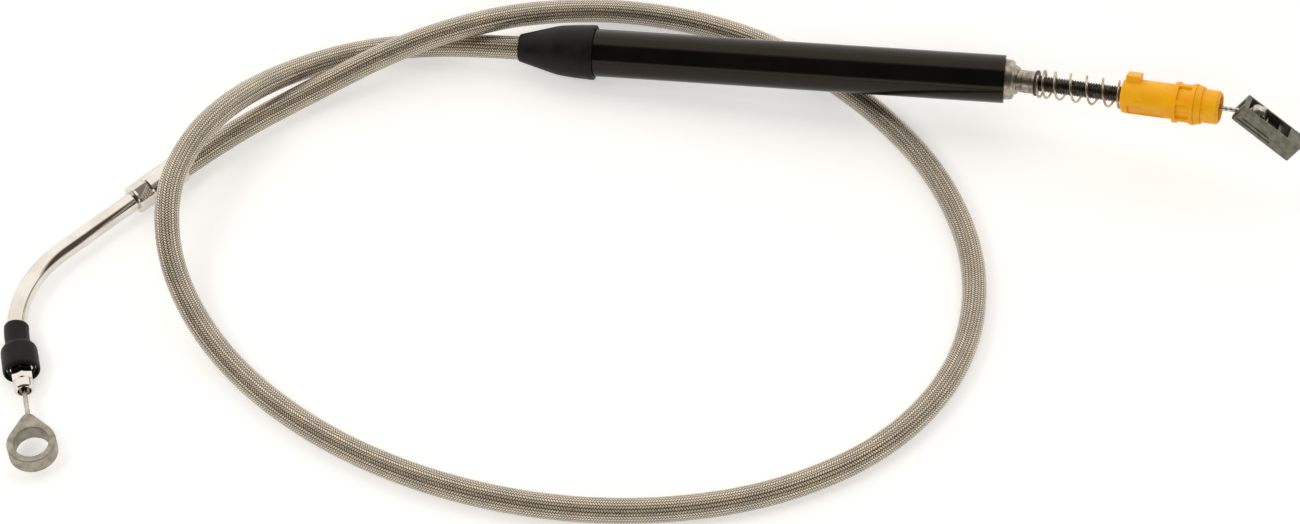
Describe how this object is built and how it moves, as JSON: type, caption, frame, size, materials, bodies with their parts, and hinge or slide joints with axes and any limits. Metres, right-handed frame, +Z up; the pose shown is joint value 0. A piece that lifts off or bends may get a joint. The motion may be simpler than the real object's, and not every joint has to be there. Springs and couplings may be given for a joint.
{
  "type": "control cable",
  "caption": "Braided control cable with a chrome elbow and ring eyelet at the lever end, and a black barrel with a sprung adjuster and a swinging link at the release end.",
  "frame": {"origin": "centre of the fittings' footprint on the table that the cable lies on", "axes": "+X runs from the lever end to the release end, +Z is up"},
  "size_m": [0.4681, 0.2389, 0.043],
  "materials": {
    "chrome": "polished chrome plate",
    "black_rubber": "moulded, matt",
    "cast_zinc": "tumbled casting, dull",
    "dark_casting": "as cast, passivated",
    "clear_jacket": "clear extrusion",
    "steel_braid": "woven bright wire",
    "black_plastic": "moulded",
    "nylon": "natural",
    "spring_steel": "drawn wire, bright",
    "zinc_plate": "turned, zinc plated",
    "gloss_black": "gloss coat",
    "yellow_plastic": "moulded, satin",
    "brass": "bright strip"
  },
  "bodies": {
    "cable": {"crimp_collar": "chrome", "elbow_tube": "chrome", "elbow_liner": "nylon", "elbow_wire": "spring_steel", "nose_ferrule": "chrome", "nose_seal": "black_rubber", "nose_boot": "black_rubber", "outer_jacket": "clear_jacket", "steel_braid": "steel_braid", "inner_jacket": "black_plastic", "wound_conduit": "spring_steel", "casing_liner": "nylon", "casing_wire": "spring_steel", "barrel_boot": "black_rubber", "barrel_tube": "gloss_black", "barrel_plug": "black_plastic", "barrel_guide": "nylon", "barrel_wire": "spring_steel", "swivel_seat": "nylon", "end_bush": "zinc_plate"},
    "lever_end": {"lever_wire": "spring_steel", "lever_eyelet": "cast_zinc"},
    "stud": {"threaded_stud": "zinc_plate", "spring_washer": "zinc_plate", "adjuster_spring": "spring_steel"},
    "housing": {"adjuster_housing": "yellow_plastic", "thread_jaws": "black_plastic"},
    "ring": {"lock_ring": "yellow_plastic"},
    "release": {"release_wire": "spring_steel", "wire_nipple": "zinc_plate"},
    "link": {"release_link": "dark_casting", "link_clip": "brass", "link_retainer": "black_rubber"}
  },
  "joints": [
    {"name": "lever_pull", "type": "slide", "parent": "cable", "child": "lever_end", "axis": [0.225, -0.9744, 0], "range_m": [-0.0085, 0.0035]},
    {"name": "adjuster_swing", "type": "hinge", "parent": "cable", "child": "stud", "pos_m": [0.13147, 0.0636, 0.02315], "axis": [-0.0046, -0.467, -0.8843], "range_deg": [-22.1, 0]},
    {"name": "housing_slide", "type": "slide", "parent": "stud", "child": "housing", "axis": [-0.9349, 0.3159, -0.1619], "range_m": [0, 0.018], "stiffness_N_per_m": 500, "springref_m": -0.004, "deforming": ["adjuster_spring"]},
    {"name": "lock_ring_turn", "type": "hinge", "parent": "housing", "child": "ring", "pos_m": [0.18939, 0.04403, 0.03318], "axis": [0.9349, -0.3159, 0.1619], "range_deg": [0, 60]},
    {"name": "release_pull", "type": "slide", "parent": "stud", "child": "release", "axis": [-0.9349, 0.3159, -0.1619], "range_m": [-0.0085, 0.0035]},
    {"name": "link_swing", "type": "hinge", "parent": "release", "child": "link", "pos_m": [0.21753, 0.03452, 0.03806], "axis": [-0.3458, -0.9136, 0.214], "range_deg": [-10, 36.7]}
  ],
  "couplings": [
    {"joint": "release_pull", "follows": "lever_pull", "ratio": 1}
  ]
}
